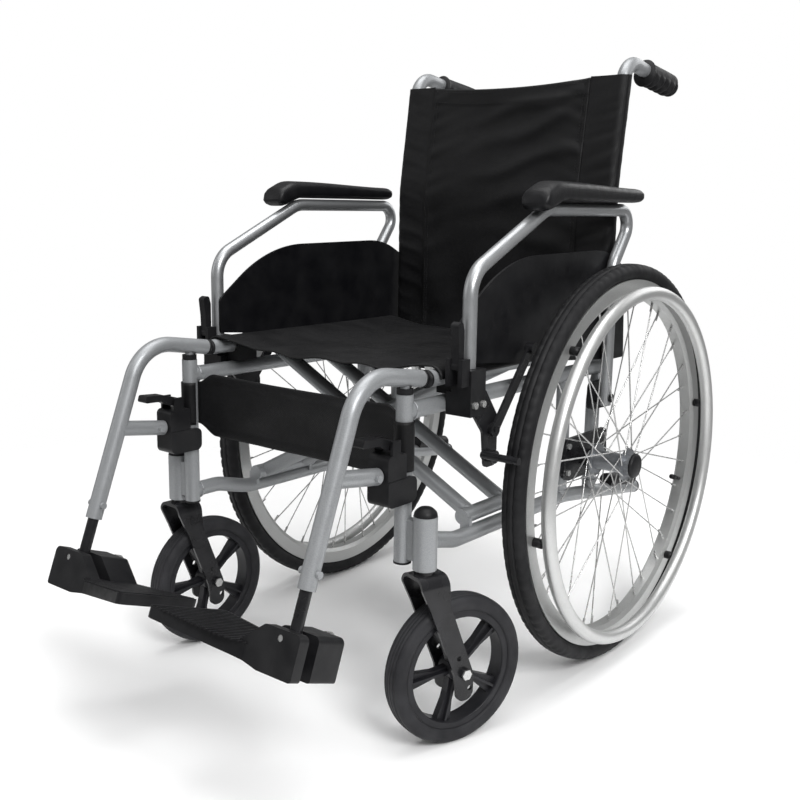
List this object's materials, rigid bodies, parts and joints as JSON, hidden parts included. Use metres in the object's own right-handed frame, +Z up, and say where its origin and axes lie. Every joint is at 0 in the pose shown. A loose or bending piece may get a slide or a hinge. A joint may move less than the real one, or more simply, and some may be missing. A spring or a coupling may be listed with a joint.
{
  "type": "manual wheelchair",
  "caption": "Folding manual wheelchair with spoked rear wheels and hand rings, swivel casters, flip-back armrests, swing-away footrests and black cloth seat and back.",
  "frame": {"origin": "on the floor, in the middle of the overall length and width", "axes": "+X to the user's left, +Y to the rear, +Z up; the front is -Y"},
  "size_m": [0.6474, 1.005, 0.9251],
  "materials": {
    "frame_paint": "satin silver-grey powder coat",
    "black_steel": "semi-gloss black paint",
    "bright_metal": "zinc-plated",
    "spoke_steel": "bright drawn wire",
    "rim_alloy": "satin",
    "handrim_alloy": "polished satin",
    "hub_alloy": "satin",
    "arm_alloy": "satin",
    "black_plastic": "moulded, fine grain",
    "gloss_plastic": "moulded",
    "tyre_rubber": "matt",
    "grip_rubber": "matt",
    "black_cloth": "woven nylon",
    "pad_skin": "moulded foam skin"
  },
  "bodies": {
    "frame_right": {"side_frame_right": "frame_paint", "axle_plate_right": "black_steel", "frame_fittings_right": "black_plastic", "frame_caps_right": "black_plastic", "side_bolts_right": "bright_metal", "push_grip_right": "grip_rubber", "brake_base_right": "black_steel", "back_sling": "black_cloth", "calf_strap": "black_cloth"},
    "frame_left": {"side_frame_left": "frame_paint", "axle_plate_left": "black_steel", "frame_fittings_left": "black_plastic", "frame_caps_left": "black_plastic", "side_bolts_left": "bright_metal", "push_grip_left": "grip_rubber", "brake_base_left": "black_steel"},
    "brace_a": {"brace_a": "frame_paint", "brace_bolts": "bright_metal", "seat_sling": "black_cloth"},
    "brace_b": {"brace_b": "frame_paint"},
    "rear_wheel_right": {"rear_tyre_right": "tyre_rubber", "rear_rim_right": "rim_alloy", "rear_hub_right": "hub_alloy", "spokes_right": "spoke_steel", "handrim_right": "handrim_alloy"},
    "caster_swivel_right": {"caster_fork_right": "black_steel"},
    "caster_wheel_right": {"caster_tyre_right": "tyre_rubber", "caster_wheel_right": "gloss_plastic"},
    "hanger_right": {"hanger_right": "frame_paint", "hanger_latch_right": "black_plastic"},
    "latch_lever_right": {"latch_lever_right": "black_plastic"},
    "foot_tube_right": {"foot_tube_right": "bright_metal"},
    "foot_pin_right": {"foot_pin_right": "bright_metal"},
    "footplate_right": {"footplate_right": "black_plastic"},
    "armrest_right": {"arm_tube_right": "arm_alloy", "arm_pad_right": "pad_skin", "skirt_guard_right": "black_plastic"},
    "arm_latch_right": {"arm_latch_right": "black_plastic"},
    "brake_lever_right": {"brake_lever_right": "bright_metal"},
    "brake_shoe_right": {"brake_shoe_right": "black_steel"},
    "rear_wheel_left": {"rear_tyre_left": "tyre_rubber", "rear_rim_left": "rim_alloy", "rear_hub_left": "hub_alloy", "spokes_left": "spoke_steel", "handrim_left": "handrim_alloy"},
    "caster_swivel_left": {"caster_fork_left": "black_steel"},
    "caster_wheel_left": {"caster_tyre_left": "tyre_rubber", "caster_wheel_left": "gloss_plastic"},
    "hanger_left": {"hanger_left": "frame_paint", "hanger_latch_left": "black_plastic"},
    "latch_lever_left": {"latch_lever_left": "black_plastic"},
    "foot_tube_left": {"foot_tube_left": "bright_metal"},
    "foot_pin_left": {"foot_pin_left": "bright_metal"},
    "footplate_left": {"footplate_left": "black_plastic"},
    "armrest_left": {"arm_tube_left": "arm_alloy", "arm_pad_left": "pad_skin", "skirt_guard_left": "black_plastic"},
    "arm_latch_left": {"arm_latch_left": "black_plastic"},
    "brake_lever_left": {"brake_lever_left": "bright_metal"},
    "brake_shoe_left": {"brake_shoe_left": "black_steel"}
  },
  "joints": [
    {"name": "fold", "type": "hinge", "parent": "frame_right", "child": "brace_a", "pos_m": [-0.192, -0.0539, 0.268], "axis": [0, -1, 0], "range_deg": [0, 45], "deforming": ["seat_sling", "back_sling", "calf_strap"]},
    {"name": "brace_scissor", "type": "hinge", "parent": "brace_a", "child": "brace_b", "pos_m": [0, -0.0414, 0.36859], "axis": [0, -1, 0], "range_deg": [-90, 0]},
    {"name": "left_side", "type": "hinge", "parent": "brace_b", "child": "frame_left", "pos_m": [0.192, -0.0289, 0.268], "axis": [0, -1, 0], "range_deg": [0, 45]},
    {"name": "rear_wheel_right_spin", "type": "hinge", "parent": "frame_right", "child": "rear_wheel_right", "pos_m": [-0.2782, 0.1975, 0.305], "axis": [1, 0, 0], "continuous": true},
    {"name": "caster_right_swivel", "type": "hinge", "parent": "frame_right", "child": "caster_swivel_right", "pos_m": [-0.237, -0.2347, 0.28], "axis": [0, 0, 1], "continuous": true},
    {"name": "caster_right_spin", "type": "hinge", "parent": "caster_swivel_right", "child": "caster_wheel_right", "pos_m": [-0.23402, -0.18599, 0.1], "axis": [0.9981, -0.061, 0], "continuous": true},
    {"name": "hanger_right_swing", "type": "hinge", "parent": "frame_right", "child": "hanger_right", "pos_m": [-0.203, -0.2374, 0.45], "axis": [0, 0, -1], "range_deg": [0, 90]},
    {"name": "latch_lever_right_press", "type": "hinge", "parent": "hanger_right", "child": "latch_lever_right", "pos_m": [-0.203, -0.2714, 0.404], "axis": [1, 0, 0], "range_deg": [0, 15], "stiffness_Nm_per_rad": 0.5, "springref_deg": -11.46},
    {"name": "foot_right_slide", "type": "slide", "parent": "hanger_right", "child": "foot_tube_right", "axis": [0, -0.3551, -0.9348], "range_m": [-0.01, 0.06]},
    {"name": "foot_pin_right_turn", "type": "hinge", "parent": "foot_tube_right", "child": "foot_pin_right", "pos_m": [-0.203, -0.43256, 0.20628], "axis": [0, -0.9348, 0.3551], "range_deg": [0, 85.5]},
    {"name": "footplate_right_flip", "type": "hinge", "parent": "foot_pin_right", "child": "footplate_right", "pos_m": [-0.203, -0.43256, 0.20628], "axis": [0, 0.9348, -0.3551], "range_deg": [-85, 0]},
    {"name": "armrest_right_flip", "type": "hinge", "parent": "frame_right", "child": "armrest_right", "pos_m": [-0.237, 0.2286, 0.398], "axis": [-1, 0, 0], "range_deg": [0, 100]},
    {"name": "arm_latch_right_press", "type": "hinge", "parent": "frame_right", "child": "arm_latch_right", "pos_m": [-0.237, -0.175, 0.494], "axis": [1, 0, 0], "range_deg": [0, 20], "stiffness_Nm_per_rad": 0.5, "springref_deg": -11.46},
    {"name": "brake_lever_right_push", "type": "hinge", "parent": "frame_right", "child": "brake_lever_right", "pos_m": [-0.2384, -0.0874, 0.398], "axis": [1, 0, 0], "range_deg": [0, 40]},
    {"name": "brake_shoe_right_press", "type": "hinge", "parent": "frame_right", "child": "brake_shoe_right", "pos_m": [-0.2384, -0.0854, 0.36], "axis": [-1, 0, 0], "range_deg": [0, 35.5]},
    {"name": "rear_wheel_left_spin", "type": "hinge", "parent": "frame_left", "child": "rear_wheel_left", "pos_m": [0.2782, 0.1975, 0.305], "axis": [1, 0, 0], "continuous": true},
    {"name": "caster_left_swivel", "type": "hinge", "parent": "frame_left", "child": "caster_swivel_left", "pos_m": [0.237, -0.2347, 0.28], "axis": [0, 0, 1], "continuous": true},
    {"name": "caster_left_spin", "type": "hinge", "parent": "caster_swivel_left", "child": "caster_wheel_left", "pos_m": [0.25256, -0.18845, 0.1], "axis": [0.9478, -0.319, 0], "continuous": true},
    {"name": "hanger_left_swing", "type": "hinge", "parent": "frame_left", "child": "hanger_left", "pos_m": [0.203, -0.2374, 0.45], "axis": [0, 0, 1], "range_deg": [0, 90]},
    {"name": "latch_lever_left_press", "type": "hinge", "parent": "hanger_left", "child": "latch_lever_left", "pos_m": [0.203, -0.2714, 0.404], "axis": [1, 0, 0], "range_deg": [0, 15], "stiffness_Nm_per_rad": 0.5, "springref_deg": -11.46},
    {"name": "foot_left_slide", "type": "slide", "parent": "hanger_left", "child": "foot_tube_left", "axis": [0, -0.3551, -0.9348], "range_m": [-0.01, 0.06]},
    {"name": "foot_pin_left_turn", "type": "hinge", "parent": "foot_tube_left", "child": "foot_pin_left", "pos_m": [0.203, -0.43256, 0.20628], "axis": [0, 0.9348, -0.3551], "range_deg": [0, 85.5]},
    {"name": "footplate_left_flip", "type": "hinge", "parent": "foot_pin_left", "child": "footplate_left", "pos_m": [0.203, -0.43256, 0.20628], "axis": [0, -0.9348, 0.3551], "range_deg": [-85, 0]},
    {"name": "armrest_left_flip", "type": "hinge", "parent": "frame_left", "child": "armrest_left", "pos_m": [0.237, 0.2286, 0.398], "axis": [-1, 0, 0], "range_deg": [0, 100]},
    {"name": "arm_latch_left_press", "type": "hinge", "parent": "frame_left", "child": "arm_latch_left", "pos_m": [0.237, -0.175, 0.494], "axis": [1, 0, 0], "range_deg": [0, 20], "stiffness_Nm_per_rad": 0.5, "springref_deg": -11.46},
    {"name": "brake_lever_left_push", "type": "hinge", "parent": "frame_left", "child": "brake_lever_left", "pos_m": [0.2384, -0.0874, 0.398], "axis": [1, 0, 0], "range_deg": [0, 40]},
    {"name": "brake_shoe_left_press", "type": "hinge", "parent": "frame_left", "child": "brake_shoe_left", "pos_m": [0.2384, -0.0854, 0.36], "axis": [-1, 0, 0], "range_deg": [0, 35.5]}
  ],
  "couplings": [
    {"joint": "brace_scissor", "follows": "fold", "ratio": -2},
    {"joint": "left_side", "follows": "fold", "ratio": 1},
    {"joint": "foot_pin_right_turn", "follows": "fold", "ratio": 1.9},
    {"joint": "brake_shoe_right_press", "follows": "brake_lever_right_push", "ratio": 0.8875},
    {"joint": "foot_pin_left_turn", "follows": "fold", "ratio": 1.9},
    {"joint": "brake_shoe_left_press", "follows": "brake_lever_left_push", "ratio": 0.8875}
  ]
}
